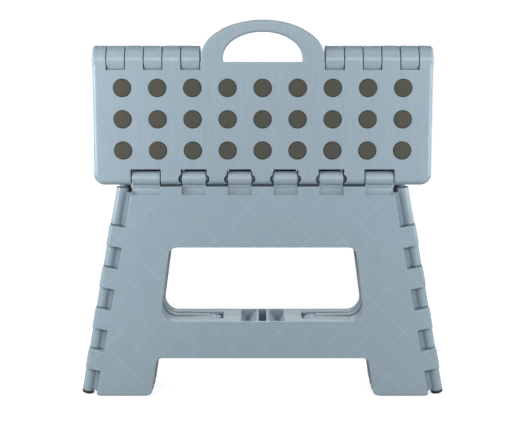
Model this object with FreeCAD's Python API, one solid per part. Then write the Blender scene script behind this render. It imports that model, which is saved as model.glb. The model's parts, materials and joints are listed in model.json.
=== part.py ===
import FreeCAD, Part

# Folding step stool, stored folded flat and standing on its feet.
# Millimetres.  +X to the stool's left-to-right, -Y to the front, +Z up.
# Origin: middle of the footprint, on the floor.
#
# Every hinged panel is drawn as it lies in the opened stool and is then swung
# about its own hinge line into the folded position.

import math
import os
from FreeCAD import Placement, Rotation, Vector

os.makedirs("parts", exist_ok=True)

# ---------------------------------------------------------------- overall sizes
BASE_WIDTH = 375.0          # across the corner feet
SEAT_HEIGHT = 232.6         # top of the opened seat above the floor
SEAT_WIDTH = 337.0          # seat along X
REACH = 116.5               # seat hinge to centre hinge = corner hinge to side fold
EDGE_SLOPE = 10.77          # lean of the leg edges, degrees
HINGE_INSET = 12.5          # hinge lines from the folded mid-plane
LEG_FACE = 25.0             # outer face of each leg from the folded mid-plane

# ---------------------------------------------------------------- walls and gaps
SKIN = 3.0                  # show faces of the panels
RIM = 3.0                   # stiffening rims
RIB = 1.8                   # crossed ribs
RIB_PITCH = 34.0            # between parallel ribs, seat and side halves
LEG_RIB_PITCH = 22.6        # between parallel ribs, legs
LEG_RIB_CROSS = 116.8       # height of the legs' rib crossing on the centre line
PLAY = 0.8                  # between neighbouring knuckles
CLEAR = 0.5                 # between panels that pass each other
RUN = 0.05                  # radial, pin in a turning hole

# ---------------------------------------------------------------- seat
SEAT_RISE = 8.0             # seat top above the seat hinge
SEAT_LIP = 6.0              # seat edge beyond the seat hinge
SEAT_DEPTH = 13.5           # skirt
SEAT_CORNER = 11.0
SEAT_ROUND = 6.0
BARREL_R = 15.5             # centre hinge
BARREL_END = 4.0            # rounding of its outer ends
BARREL_NOTCH = 8.6          # notches in the seat face, below the centre hinge
BARREL_PITCH = 18.3
BARREL_START = 61.9         # where the first centre knuckle begins, either side
HANDLE_A = 61.0             # half width of the carrying handle
HANDLE_B = 36.8             # rise of its outer curve
HANDLE_BASE = 3.2           # its curves start beyond the centre hinge
GRIP_A = 39.2               # finger opening
GRIP_B = 25.4
GRIP_SILL = 4.1             # straight lower edge below the start of the curve
HANDLE_THICK = 12.5
HANDLE_ROUND = 2.5
HANDLE_ROOT = 14.0          # how far its foot reaches into the seat, from the centre hinge
HANDLE_GAP = 0.9            # to the recess in the rear half
DOT_R = 9.05
DOT_COLUMNS = 9
DOT_ROWS = 3
DOT_PITCH_X = 34.5
DOT_FIRST = 26.2            # first row from the centre hinge
DOT_LAST = 28.6             # last row from the seat hinge
DOT_SUNK = 1.4
DOT_PROUD = 0.5

# ---------------------------------------------------------------- seat hinge
EAR = 22.25                 # seat between two leg knuckles
KNUCKLE = 23.3              # inner leg knuckles
KNUCKLE_END = 27.8          # outermost leg knuckle, either side
KNUCKLE_R = 7.7
COVE_R = 6.3                # hollow between a leg knuckle and the leg face
COVE_IN = 1.5               # its centre behind the leg face
COVE_DOWN = 8.75            # and below the hinge
NOTCH_GAP = 1.1
NOTCH_TOP = 9.7
DOME_R = 4.3                # domed bosses on the inner leg knuckles
DOME_SINK = 0.9             # their centres inside the knuckle ends
DOME_GAP = 0.4
PIN_R = 1.6

# ---------------------------------------------------------------- legs
LEG_DROP = 6.9              # top of the leg face below the seat hinge
FLANGE = 3.0
SLOT = 16.5                 # width of the edge slots, from the outer edge
EDGE_R = 6.2                # corner hinge barrels
EDGE_ROUND = 5.0
EDGE_KNUCKLES = 4           # leg knuckles up each edge
EDGE_KNUCKLE = 20.7
EDGE_PITCH_SHARE = 0.19683  # pitch of the leg knuckles, of the leg's height
EDGE_MIDDLE_SHARE = 0.4814  # middle of their row above the floor
ROD_R = 2.0
FOOT_GAP = 1.5              # leg plastic above the floor
PAD_HIGH = 3.0
CAP_HIGH = 5.5              # rubber foot on the corner knuckle
WINDOW_LOW_SHARE = 0.36702  # sill and head of the window, of the leg's height
WINDOW_HIGH_SHARE = 0.71888
WINDOW_HALF_LOW = 104.25
WINDOW_HALF_HIGH = 93.5
OPEN_RIBS = 22.0            # ribs open to the window over this half width
ARCH_TOP = 41.0
ARCH_HALF_TOP = 108.0
ARCH_HALF_LOW = 114.0

# ---------------------------------------------------------------- side halves
SIDE_OUT = 3.6              # outer surface from the hinge lines
SIDE_IN = 4.4
SIDE_SKIN = 2.5
REBATE = 4.2                # sunk strip beside the corner knuckles
REBATE_FLOOR = -0.8         # its surface from the hinge lines
FOLD_R = 6.0
FOLD_OUT = 4.0              # side fold outside the corner hinge, in the half's own frame

# ---------------------------------------------------------------- derived
HINGE_Z = SEAT_HEIGHT - SEAT_RISE
LEG_TOP = HINGE_Z - LEG_DROP
EDGE_PITCH = LEG_TOP * EDGE_PITCH_SHARE
EDGE_MIDDLE = LEG_TOP * EDGE_MIDDLE_SHARE
WINDOW_LOW = LEG_TOP * WINDOW_LOW_SHARE
WINDOW_HIGH = LEG_TOP * WINDOW_HIGH_SHARE
SINE = math.sin(math.radians(EDGE_SLOPE))
COSINE = math.cos(math.radians(EDGE_SLOPE))
OVER_CENTRE = BARREL_R - SEAT_RISE      # opened: centre hinge below the seat hinges
CENTRE_REACH = math.sqrt(REACH ** 2 - OVER_CENTRE ** 2)
FOLD_REACH = math.sqrt(REACH ** 2 - FOLD_OUT ** 2)
SWING = math.degrees(math.acos(HINGE_INSET / REACH) + math.asin(OVER_CENTRE / REACH))
SIDE_SWING = math.degrees(math.acos(HINGE_INSET / REACH) + math.asin(FOLD_OUT / REACH))
CENTRE_Z = HINGE_Z + math.sqrt(REACH ** 2 - HINGE_INSET ** 2)
DOT_PITCH_Y = (CENTRE_REACH - DOT_FIRST - DOT_LAST) / (DOT_ROWS - 1)
RIGHT_EDGE = Vector(BASE_WIDTH / 2 - EDGE_R * COSINE, -HINGE_INSET, -EDGE_R * SINE)
FOLD_TOP = HINGE_Z - OVER_CENTRE - BARREL_R - 1.5   # side folds stay under the centre hinge
SPINE = EDGE_R + REACH + FOLD_R + 1     # leg's deep middle, inboard of both side folds
FULL = 2 * (BASE_WIDTH + SEAT_HEIGHT)


# ================================================================ drawing helpers
def outline(corners):
    """Closed wire in the XY plane through (x, y, corner radius) corners."""
    arcs = []
    for index, (x, y, radius) in enumerate(corners):
        here = Vector(x, y, 0)
        before = corners[index - 1]
        after = corners[(index + 1) % len(corners)]
        back = (Vector(before[0], before[1], 0) - here).normalize()
        ahead = (Vector(after[0], after[1], 0) - here).normalize()
        half = back.getAngle(ahead) / 2
        reach = radius / math.tan(half)
        inward = (back + ahead).normalize()
        middle = here + inward * (radius / math.sin(half) - radius)
        arcs.append((here + back * reach, middle, here + ahead * reach, radius))
    edges = []
    for index, (start, middle, end, radius) in enumerate(arcs):
        if radius > 0:
            edges.append(Part.Arc(start, middle, end).toShape())
        following = arcs[(index + 1) % len(arcs)][0]
        if end.distanceToPoint(following) > 1e-6:
            edges.append(Part.makeLine(end, following))
    return Part.Wire(edges)


def mirrored_outline(right_side):
    """Outline symmetric about x = 0 from its right-hand corners, taken in order."""
    left_side = [(-x, y, radius) for x, y, radius in reversed(right_side)]
    return outline(right_side + left_side)


def half_ellipse(half_width, rise, base_y, sill=0.0):
    """Half ellipse standing on y = base_y, carried straight down by sill."""
    curve = Part.Arc(Part.Ellipse(Vector(0, base_y, 0), half_width, rise), 0, math.pi).toShape()
    right = Vector(half_width, base_y, 0)
    left = Vector(-half_width, base_y, 0)
    down = Vector(0, -sill, 0)
    if sill == 0:
        return Part.Wire([curve, Part.makeLine(left, right)])
    sides = [Part.makeLine(left, left + down), Part.makeLine(left + down, right + down)]
    return Part.Wire([curve] + sides + [Part.makeLine(right + down, right)])


def slab(wire, low, high):
    """Extrude a plan outline from z = low to z = high."""
    solid = Part.Face(wire).extrude(Vector(0, 0, high - low))
    solid.translate(Vector(0, 0, low))
    return solid


def upright(shape):
    """Plan (x, y, z) to elevation (x, -z, y): thickness then runs towards the front."""
    return shape.copy().rotate(Vector(), Vector(1, 0, 0), 90)


def edgewise(shape):
    """Plan (x, y, z) to a side plate's own frame (z, x, y)."""
    turned = shape.copy()
    turned.Placement = Placement(Vector(), Rotation(Vector(1, 1, 1), 120)).multiply(shape.Placement)
    return turned


def box(low, high):
    """Box between two opposite corners."""
    size = [b - a for a, b in zip(low, high)]
    return Part.makeBox(size[0], size[1], size[2], Vector(*low))


def bar_x(radius, y, z, x_low, x_high):
    """Round bar along X."""
    return Part.makeCylinder(radius, x_high - x_low, Vector(x_low, y, z), Vector(1, 0, 0))


def bar_z(radius, x, y, z_low, z_high):
    """Round bar along Z."""
    return Part.makeCylinder(radius, z_high - z_low, Vector(x, y, z_low), Vector(0, 0, 1))


def crossed_ribs(half_width, low, high, z_low, z_high, pitch=RIB_PITCH, crossing=None):
    """Both families of 45 degree ribs over a plan rectangle."""
    ribs = []
    middle = (low + high) / 2 if crossing is None else crossing
    length = 1.5 * (high - low) + 4 * pitch
    step = pitch * math.sqrt(2)
    count = int((half_width + (high - low) / 2) / step) + 1
    for index in range(-count, count + 1):
        for turn in (45, -45):
            rib = box((-length / 2, -RIB / 2, z_low), (length / 2, RIB / 2, z_high))
            rib.rotate(Vector(), Vector(0, 0, 1), turn)
            rib.translate(Vector(index * step, middle, 0))
            ribs.append(rib)
    return ribs


def edges_at(solid, axis, level):
    """Edges lying wholly in the plane where the given coordinate equals level."""
    found = []
    for edge in solid.Edges:
        bounds = edge.BoundBox
        low = getattr(bounds, axis + "Min")
        high = getattr(bounds, axis + "Max")
        if abs(low - level) < 1e-4 and abs(high - level) < 1e-4:
            found.append(edge)
    return found


def mirror_x(shape):
    return shape.mirror(Vector(), Vector(1, 0, 0))


def mirror_y(shape):
    return shape.mirror(Vector(), Vector(0, 1, 0))


def both_sides(shapes):
    return shapes + [mirror_x(shape) for shape in shapes]


def group(shapes):
    return Part.makeCompound(shapes)


def save(name, shape):
    shape.exportStep("parts/" + name + ".step")


# ================================================================ where things swing
def fold_seat(shape):
    """From the opened position about the origin to the folded front half."""
    folded = shape.copy()
    folded.rotate(Vector(), Vector(1, 0, 0), SWING)
    folded.translate(Vector(0, -HINGE_INSET, HINGE_Z))
    return folded


def fold_side(shape):
    """From the side half's own frame to the folded front right half."""
    folded = shape.copy()
    folded.rotate(Vector(), Vector(0, 0, 1), SIDE_SWING)
    folded.rotate(Vector(), Vector(0, 1, 0), -EDGE_SLOPE)
    folded.translate(RIGHT_EDGE)
    return folded


def along_edge(shape):
    """From the side half's own frame to the front right leg edge, without folding."""
    placed = shape.copy()
    placed.rotate(Vector(), Vector(0, 1, 0), -EDGE_SLOPE)
    placed.translate(RIGHT_EDGE)
    return placed


def edge_point(along, inboard, radius):
    """Corner on the leg face, by distance up the right edge and in from it."""
    x = BASE_WIDTH / 2 - along * SINE - inboard * COSINE
    z = along * COSINE - inboard * SINE
    return (x, z, radius)


def at_height(height, inboard, radius):
    """Corner on a line parallel to the right edge, at a given height."""
    return edge_point((height + inboard * SINE) / COSINE, inboard, radius)


def leg_knuckle_spans():
    """Low and high end of each leg knuckle, up the slanted edge."""
    spans = []
    for index in range(EDGE_KNUCKLES):
        middle = EDGE_MIDDLE + (index - (EDGE_KNUCKLES - 1) / 2) * EDGE_PITCH
        spans.append((middle / COSINE - EDGE_KNUCKLE / 2, middle / COSINE + EDGE_KNUCKLE / 2))
    return spans


def side_knuckle_spans():
    """The spans the leg knuckles leave to the side half, foot to top."""
    spans = []
    low = CAP_HIGH
    for start, end in leg_knuckle_spans():
        spans.append((low, start - PLAY))
        low = end + PLAY
    spans.append((low, (LEG_TOP - 1.0) / COSINE))
    return spans


def seat_knuckles():
    """Middle, width of the leg knuckles right of the centre line."""
    first = EAR / 2 + KNUCKLE / 2
    second = first + KNUCKLE + EAR
    third = second + KNUCKLE / 2 + EAR + KNUCKLE_END / 2
    return [(first, KNUCKLE), (second, KNUCKLE), (third, KNUCKLE_END)]


def centre_spans():
    """Knuckles of the centre hinge right of the centre line: (low, high, rear's own)."""
    spans = []
    low = BARREL_START
    rear = True
    while low < SEAT_WIDTH / 2 - BARREL_PITCH / 2:
        high = low + BARREL_PITCH
        if high > SEAT_WIDTH / 2 - BARREL_PITCH / 2:
            high = SEAT_WIDTH / 2
        spans.append((low, high, rear))
        rear = not rear
        low = high
    return spans


# ================================================================ leg
def window(grow):
    low = WINDOW_LOW - grow
    high = WINDOW_HIGH + grow
    right = [(WINDOW_HALF_LOW + grow, low, 14 + grow), (WINDOW_HALF_HIGH + grow, high, 10 + grow)]
    return mirrored_outline(right)


def arch(grow):
    right = [(ARCH_HALF_LOW + grow, -5, 0), (ARCH_HALF_TOP + grow, ARCH_TOP + grow, 7 + grow)]
    return mirrored_outline(right)


def leg_outline():
    """Leg face with its edge slots."""
    right = [(ARCH_HALF_TOP, ARCH_TOP, 7), (ARCH_HALF_LOW, FOOT_GAP, 5)]
    right.append(at_height(FOOT_GAP, SLOT, 1.5))
    for low, high in leg_knuckle_spans():
        right.append(edge_point(low, SLOT, 1.0))
        right.append(edge_point(low, 0, 1.0))
        right.append(edge_point(high, 0, 1.0))
        right.append(edge_point(high, SLOT, 1.0))
    right.append(at_height(LEG_TOP, SLOT, 2.5))
    return mirrored_outline(right)


def leg_pocket():
    """Hollow behind the leg face, between rims and crossed ribs."""
    wall = SLOT + RIM
    right = [(ARCH_HALF_TOP + RIM, ARCH_TOP + RIM, 4), (ARCH_HALF_LOW + RIM, FOOT_GAP + RIM, 3)]
    right.append(at_height(FOOT_GAP + RIM, wall, 3))
    right.append(at_height(LEG_TOP - FLANGE, wall, 3))
    hollow = slab(mirrored_outline(right), HINGE_INSET, LEG_FACE - SKIN)
    inner = [at_height(ARCH_TOP + RIM, SPINE + RIM, 1), at_height(HINGE_Z - 20, SPINE + RIM, 1)]
    spine = slab(mirrored_outline(inner), -1, HINGE_INSET + 1)
    rims = slab(window(RIM), -2, LEG_FACE)
    rims = rims.cut(box((-OPEN_RIBS, ARCH_TOP, -3), (OPEN_RIBS, WINDOW_LOW + 5, LEG_FACE + 1)))
    tool = hollow.fuse(spine).cut(rims)
    ribs = crossed_ribs(BASE_WIDTH / 2, 0, LEG_TOP, -2, LEG_FACE, LEG_RIB_PITCH, LEG_RIB_CROSS)
    return tool.cut(ribs)


def leg_panel():
    """Front leg panel in place, its knuckles for the seat and for the side halves."""
    comb = slab(leg_outline(), HINGE_INSET, LEG_FACE)
    comb = comb.makeFillet(0.7, edges_at(comb, "Z", LEG_FACE))
    edge = mirrored_outline([at_height(-20, 0, 0), at_height(SEAT_HEIGHT, 0, 0)])
    envelope = slab(edge, 0, LEG_FACE)
    slanted = [e for e in edges_at(envelope, "Z", LEG_FACE) if e.BoundBox.YLength > SEAT_HEIGHT / 2]
    envelope = envelope.makeFillet(EDGE_ROUND, slanted)
    comb = comb.common(envelope)
    spine = [at_height(ARCH_TOP, SPINE, 2), at_height(HINGE_Z - 17, SPINE, 2)]
    comb = comb.fuse(slab(mirrored_outline(spine), CLEAR, HINGE_INSET + 1))
    comb = comb.cut([slab(window(0), -2, LEG_FACE + 1), leg_pocket()])
    panel = upright(comb)

    swept = box((-SIDE_IN - CLEAR, EDGE_R + 0.3, -20), (40, REACH + FOLD_R + 1, FULL))
    clear_right = fold_side(swept)
    panel = panel.cut([clear_right, mirror_x(clear_right)])

    extras = []
    shelf_x = at_height(LEG_TOP - FLANGE, SLOT, 0)[0] - 0.6
    back = -HINGE_INSET + KNUCKLE_R
    neck_front = -LEG_FACE + COVE_IN + COVE_R
    extras.append(box((-shelf_x, -LEG_FACE + 1, LEG_TOP - FLANGE), (shelf_x, back, LEG_TOP)))
    for low, high in leg_knuckle_spans():
        barrel = along_edge(bar_z(EDGE_R, 0, 0, low, high))
        extras += [barrel, mirror_x(barrel)]
    coves = []
    for middle, width in seat_knuckles():
        for side in (1, -1):
            low = side * middle - width / 2
            high = side * middle + width / 2
            neck = box((low, neck_front, LEG_TOP - 2), (high, back, HINGE_Z))
            extras.append(neck)
            gusset_low = HINGE_Z - COVE_DOWN - COVE_R - 1.5
            gusset = box((low, -LEG_FACE + 1, gusset_low), (high, neck_front + 1, LEG_TOP - 2))
            extras.append(gusset)
            extras.append(bar_x(KNUCKLE_R, -HINGE_INSET, HINGE_Z, low, high))
            if width == KNUCKLE:
                extras.append(boss(low, -1))
                extras.append(boss(high, 1))
            coves.append(bar_x(COVE_R, -LEG_FACE + COVE_IN, HINGE_Z - COVE_DOWN, low, high))
            coves.append(box((low, -LEG_FACE - 1, HINGE_Z - COVE_DOWN),
                             (high, -LEG_FACE + COVE_IN, LEG_TOP + 1)))
    panel = panel.fuse(extras)

    holes = list(coves)
    middle, width = seat_knuckles()[-1]
    for side in (1, -1):
        low = side * middle - width
        holes.append(bar_x(PIN_R, -HINGE_INSET, HINGE_Z, low, low + 2 * width))
    rod = along_edge(bar_z(ROD_R, 0, 0, -20, FULL))
    holes += [rod, mirror_x(rod)]
    pad_tool = foot_pad(0)
    holes += [pad_tool, mirror_x(pad_tool)]
    return panel.cut(holes).removeSplitter()


def boss(x, direction):
    """Domed hinge boss standing out of a knuckle end."""
    centre = Vector(x - direction * DOME_SINK, -HINGE_INSET, HINGE_Z)
    return Part.makeSphere(DOME_R, centre, Vector(0, 0, 1), -90, 90, 360)


def foot_pad(trim):
    """Rubber strip let into the underside of the right foot of the front leg."""
    left = ARCH_HALF_LOW + 5
    right = at_height(0, SLOT, 0)[0] - 3
    front = -LEG_FACE + 1.5
    back = -LEG_FACE + 7.0
    return box((left + trim, front + trim, 0), (right - trim, back - trim, PAD_HIGH - trim))


# ================================================================ seat
def seat_outline():
    """Seat half in plan, from the lip to the centre line, knuckle notches at the lip."""
    right = []
    for middle, width in seat_knuckles():
        low = middle - width / 2 - NOTCH_GAP
        high = middle + width / 2 + NOTCH_GAP
        right.append((low, -SEAT_LIP, 1.5))
        right.append((low, NOTCH_TOP, 1.0))
        right.append((high, NOTCH_TOP, 1.0))
        right.append((high, -SEAT_LIP, 1.5))
    right.append((SEAT_WIDTH / 2, -SEAT_LIP, SEAT_CORNER))
    right.append((SEAT_WIDTH / 2, CENTRE_REACH - 0.3, 0))
    return right


def seat_panel(rear):
    """One seat half, opened, its seat hinge on the X axis."""
    body = slab(mirrored_outline(seat_outline()), SEAT_RISE - SEAT_DEPTH, SEAT_RISE)
    body = body.makeFillet(0.6, [e for e in edges_at(body, "Z", SEAT_RISE)
                                 if e.BoundBox.YMax < NOTCH_TOP + 0.1
                                 and e.BoundBox.XMax < SEAT_WIDTH / 2 - SEAT_CORNER - 2
                                 and e.BoundBox.XMin > 2 + SEAT_CORNER - SEAT_WIDTH / 2])
    plan = [(SEAT_WIDTH / 2, -SEAT_LIP, SEAT_CORNER), (SEAT_WIDTH / 2, 2 * REACH, 0)]
    envelope = slab(mirrored_outline(plan), SEAT_RISE - SEAT_DEPTH, SEAT_RISE)
    top = [e for e in edges_at(envelope, "Z", SEAT_RISE) if e.BoundBox.YMin < REACH]
    envelope = envelope.makeFillet(SEAT_ROUND, top)
    under = [e for e in edges_at(envelope, "Z", SEAT_RISE - SEAT_DEPTH) if e.BoundBox.YMin < REACH]
    envelope = envelope.makeFillet(4.0, under)
    body = body.common(envelope)

    beyond = box((-FULL, 0, -FULL), (FULL, FULL, 0))
    beyond.translate(Vector(0, -REACH, 0))
    beyond.rotate(Vector(), Vector(1, 0, 0), 90 - SWING)
    beyond.translate(Vector(0, CENTRE_REACH, -OVER_CENTRE + PLAY))
    body = body.cut(beyond)

    cuts = []
    barrels = []
    holes = []
    for low, high, rears_own in centre_spans():
        own = rears_own == rear
        end = high if high == SEAT_WIDTH / 2 else high - PLAY / 2
        start = low if low == BARREL_START else low + PLAY / 2
        if own:
            barrels.append(eased_barrel(start, end))
        else:
            notch_end = FULL if high == SEAT_WIDTH / 2 else high + PLAY / 2
            notch_start = low - (PLAY if low == BARREL_START else PLAY / 2)
            cuts.append(box((notch_start, CENTRE_REACH - BARREL_NOTCH, -FULL),
                            (notch_end, FULL, FULL)))
            cuts.append(bar_x(BARREL_R + PLAY, CENTRE_REACH, -OVER_CENTRE, notch_start, notch_end))
    cuts = both_sides(cuts)
    barrels = both_sides(barrels)
    if rear:
        cuts.append(handle_recess(HANDLE_GAP))
    else:
        near_grip = HANDLE_A - RIM
        cuts.append(box((-near_grip, CENTRE_REACH - HANDLE_ROOT + 1, -FULL), (near_grip, FULL, FULL)))
    body = body.cut(cuts)
    if not rear:
        body = body.fuse(handle())
    body = body.cut(seat_pocket(rear))
    body = body.fuse(barrels)

    hole_r = ROD_R + 1.0 + (RUN if rear else 0)
    for side in (1, -1):
        low = min(side * BARREL_START, side * SEAT_WIDTH / 2)
        holes.append(bar_x(hole_r, CENTRE_REACH, -OVER_CENTRE, low - 1, low + SEAT_WIDTH / 2))
    holes += dot_solids(rear, 0)
    middle, width = seat_knuckles()[-1]
    reach = width / 2 + NOTCH_GAP + 7.5
    for side in (1, -1):
        holes.append(bar_x(PIN_R + RUN, 0, 0, side * middle - reach, side * middle + reach))
        for near, wide in seat_knuckles()[:-1]:
            for end in (-1, 1):
                x = side * near + end * (wide / 2 - DOME_SINK)
                holes.append(Part.makeSphere(DOME_R + DOME_GAP, Vector(x, 0, 0), Vector(0, 0, 1),
                                             -90, 90, 360))
                holes.append(bar_z(DOME_R + DOME_GAP, x, 0, 0, SEAT_RISE + 1))
    return body.cut(holes).removeSplitter()


def eased_barrel(low, high):
    """Centre hinge barrel with chamfered ends, well rounded where it ends the seat."""
    barrel = bar_x(BARREL_R, CENTRE_REACH, -OVER_CENTRE, low, high)
    ends = [e for e in barrel.Edges if e.BoundBox.XLength < 1e-3]
    if high < SEAT_WIDTH / 2:
        return barrel.makeChamfer(0.5, ends)
    outer = [e for e in ends if e.BoundBox.XMax > high - 1e-3]
    barrel = barrel.makeFillet(BARREL_END, outer)
    inner = [e for e in barrel.Edges
             if e.BoundBox.XLength < 1e-3 and e.BoundBox.XMax < low + 1e-3]
    return barrel.makeChamfer(0.5, inner)


def handle():
    """Carrying handle: a flat arch on the front half, beyond the centre hinge."""
    low = SEAT_RISE - HANDLE_THICK
    base = CENTRE_REACH + HANDLE_BASE
    root = HANDLE_BASE + HANDLE_ROOT
    arch_solid = slab(half_ellipse(HANDLE_A, HANDLE_B, base, root), low, SEAT_RISE)
    curved = [e for e in arch_solid.Edges
              if e.BoundBox.ZLength < 1e-4 and e.BoundBox.YMax > base + HANDLE_B / 2]
    arch_solid = arch_solid.makeFillet(HANDLE_ROUND, curved)
    grip = slab(half_ellipse(GRIP_A, GRIP_B, base, GRIP_SILL), low - 30, SEAT_RISE + 1)
    sill = base - GRIP_SILL
    corners = [e for e in grip.Edges if e.BoundBox.ZLength > 1 and e.BoundBox.YMax < sill + 1e-3]
    grip = grip.makeFillet(0.8, corners)
    opened = arch_solid.cut(grip)
    brim = [e for e in edges_at(opened, "Z", SEAT_RISE) + edges_at(opened, "Z", low)
            if e.BoundBox.XMax < GRIP_A + 0.1 and e.BoundBox.XMin > -GRIP_A - 0.1
            and e.BoundBox.YMax < base + GRIP_B + 0.1 and e.BoundBox.YMin > sill - 0.1]
    return opened.makeFillet(1.5, brim)


def handle_recess(gap):
    """What the handle lies in when the seat is opened, seen from the rear half's hinge."""
    base = HANDLE_BASE
    tool = slab(half_ellipse(HANDLE_A + gap, HANDLE_B + gap, base, FULL / 4), -FULL, FULL)
    tool.rotate(Vector(), Vector(0, 0, 1), 180)
    tool.translate(Vector(0, CENTRE_REACH, 0))
    return tool


def seat_pocket(rear):
    """Hollow under the seat skin, between rims and crossed ribs."""
    near = NOTCH_TOP + RIM
    far = CENTRE_REACH - BARREL_R - PLAY - RIM
    half = SEAT_WIDTH / 2 - RIM - 1
    tool = slab(mirrored_outline([(half, near, 3), (half, far, 3)]), -FULL, SEAT_RISE - SKIN)
    if rear:
        tool = tool.cut(handle_recess(HANDLE_GAP + RIM))
    return tool.cut(crossed_ribs(half, near, far, -FULL, SEAT_RISE))


def dot_places(rear):
    """Centres of the grip dots; the rear half leaves out those in the handle recess."""
    places = []
    for row in range(DOT_ROWS):
        for column in range(DOT_COLUMNS):
            x = (column - (DOT_COLUMNS - 1) / 2) * DOT_PITCH_X
            y = CENTRE_REACH - DOT_FIRST - row * DOT_PITCH_Y
            if rear and row == 0 and abs(x) < HANDLE_A - DOT_R:
                continue
            places.append((x, y))
    return places


def dot_solids(rear, proud):
    """Grip dots; with proud they get their low domed tops."""
    dots = []
    for x, y in dot_places(rear):
        dot = bar_z(DOT_R, x, y, SEAT_RISE - DOT_SUNK, SEAT_RISE + proud)
        if proud:
            rim = [e for e in dot.Edges if e.BoundBox.ZMin > SEAT_RISE]
            dot = dot.makeFillet(proud * 0.8, rim)
        else:
            dot = bar_z(DOT_R, x, y, SEAT_RISE - DOT_SUNK, SEAT_RISE + 1)
        dots.append(dot)
    return dots


# ================================================================ side halves
def fold_spans():
    """Low and high end of the side fold's two hinges, up the slanted edge."""
    drop = (REACH + EDGE_R) * SINE
    lower = ((ARCH_TOP + drop + 1) / COSINE, (WINDOW_LOW + drop - 1) / COSINE)
    upper = ((WINDOW_HIGH + drop + 1) / COSINE, FOLD_TOP / COSINE)
    return [lower, upper]


def thirds(low, high):
    """The middle third of a span."""
    step = (high - low) / 3
    return low + step, high - step


def side_panel(rear):
    """Right side half in its own frame: hinge on Z, fold line towards +Y, outside +X."""
    start = EDGE_R + 0.7
    end = FOLD_REACH - 0.3
    top = (LEG_TOP - 4.2) / COSINE
    fold_top = FOLD_TOP / COSINE
    foot = (FOOT_GAP + 3) / COSINE
    rise = SINE / COSINE
    corners = [(start, foot + start * rise, 1), (end, foot + end * rise, 0)]
    corners += [(end, fold_top, 0), (end - 3 * FOLD_R, fold_top, 4), (end - 5 * FOLD_R, top, 4)]
    corners.append((start, top, 1))
    plate = edgewise(slab(outline(corners), -SIDE_IN, SIDE_OUT))

    foot_in = foot + RIM
    near = EDGE_R + REBATE + 1.2
    far = end - 2 * FOLD_R
    hollow = [(near, foot_in + near * rise, 2), (far, foot_in + far * rise, 2)]
    hollow += [(far, fold_top - RIM, 2), (near, top - RIM, 2)]
    pocket = slab(outline(hollow), -SIDE_IN - 1, SIDE_OUT - SIDE_SKIN)
    pocket = pocket.cut(crossed_ribs(far, foot, top, -SIDE_IN - 2, SIDE_OUT))
    opening = upright(slab(window(0.6), -LEG_FACE, LEG_FACE))
    gateway = upright(slab(arch(0.6), -LEG_FACE, LEG_FACE))
    keep = upright(slab(window(0.6 + RIM), -LEG_FACE, LEG_FACE))
    keep_arch = upright(slab(arch(0.6 + RIM), -LEG_FACE, LEG_FACE))
    pocket = edgewise(pocket).cut([unfold_side(keep), unfold_side(keep_arch)])
    plate = plate.cut([pocket, unfold_side(opening), unfold_side(gateway)])

    parts = []
    for low, high in side_knuckle_spans():
        arm_low = low if low > CAP_HIGH else low + 3
        arm_high = min(high, top)
        parts.append(bar_z(EDGE_R, 0, 0, low, high))
        parts.append(box((-SIDE_IN, 0, arm_low), (REBATE_FLOOR, start + 2, arm_high)))
    notches = [box((REBATE_FLOOR, 0, -20), (SIDE_OUT + 1, EDGE_R + REBATE, FULL))]
    for low, high in fold_spans():
        mid_low, mid_high = thirds(low, high)
        if rear:
            mine = [(mid_low + PLAY, mid_high - PLAY)]
            theirs = [(low - FOLD_R, mid_low + PLAY), (mid_high - PLAY, high + FOLD_R)]
        else:
            mine = [(low, mid_low), (mid_high, high)]
            theirs = [(mid_low, mid_high)]
        for bottom, upper in mine:
            parts.append(bar_z(FOLD_R, FOLD_OUT, FOLD_REACH, bottom, upper))
        for bottom, upper in theirs:
            notches.append(box((-SIDE_IN - 1, FOLD_REACH - FOLD_R - PLAY, bottom),
                               (SIDE_OUT + 1, FULL, upper)))
    plate = plate.cut(notches).fuse(parts)
    holes = [bar_z(ROD_R + RUN, 0, 0, -20, FULL)]
    fold_hole = ROD_R + (RUN if rear else 0)
    holes.append(bar_z(fold_hole, FOLD_OUT, FOLD_REACH, -20, FULL))
    return plate.cut(holes).removeSplitter()


def unfold_side(shape):
    """From the folded front right half back to the side half's own frame."""
    moved = shape.copy()
    moved.translate(RIGHT_EDGE * -1)
    moved.rotate(Vector(), Vector(0, 1, 0), EDGE_SLOPE)
    moved.rotate(Vector(), Vector(0, 0, 1), -SIDE_SWING)
    return moved


def corner_foot():
    """Rubber foot on the lower end of the corner knuckle, plugged into its bore."""
    ease = 1.5
    end = (ease + (2 * EDGE_R - ease) * SINE) / COSINE - ease
    cap = bar_z(EDGE_R, 0, 0, end, CAP_HIGH)
    lower = [e for e in cap.Edges if e.BoundBox.ZMax < end + 1e-3]
    cap = cap.makeFillet(ease, lower)
    plug = bar_z(ROD_R, 0, 0, CAP_HIGH - 0.5, CAP_HIGH + 4)
    return cap.fuse(plug).removeSplitter()


# ================================================================ build and save
front_leg = leg_panel()
save("front_leg_panel", front_leg)
save("rear_leg_panel", mirror_y(front_leg))

save("front_seat_panel", fold_seat(seat_panel(False)))
save("rear_seat_panel", mirror_y(fold_seat(seat_panel(True))))
save("front_seat_dots", group([fold_seat(dot) for dot in dot_solids(False, DOT_PROUD)]))
save("rear_seat_dots", group([mirror_y(fold_seat(dot)) for dot in dot_solids(True, DOT_PROUD)]))

front_side = fold_side(side_panel(False))
rear_side = mirror_y(fold_side(side_panel(True)))
save("front_right_side_panel", front_side)
save("front_left_side_panel", mirror_x(front_side))
save("rear_right_side_panel", rear_side)
save("rear_left_side_panel", mirror_x(rear_side))

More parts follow.
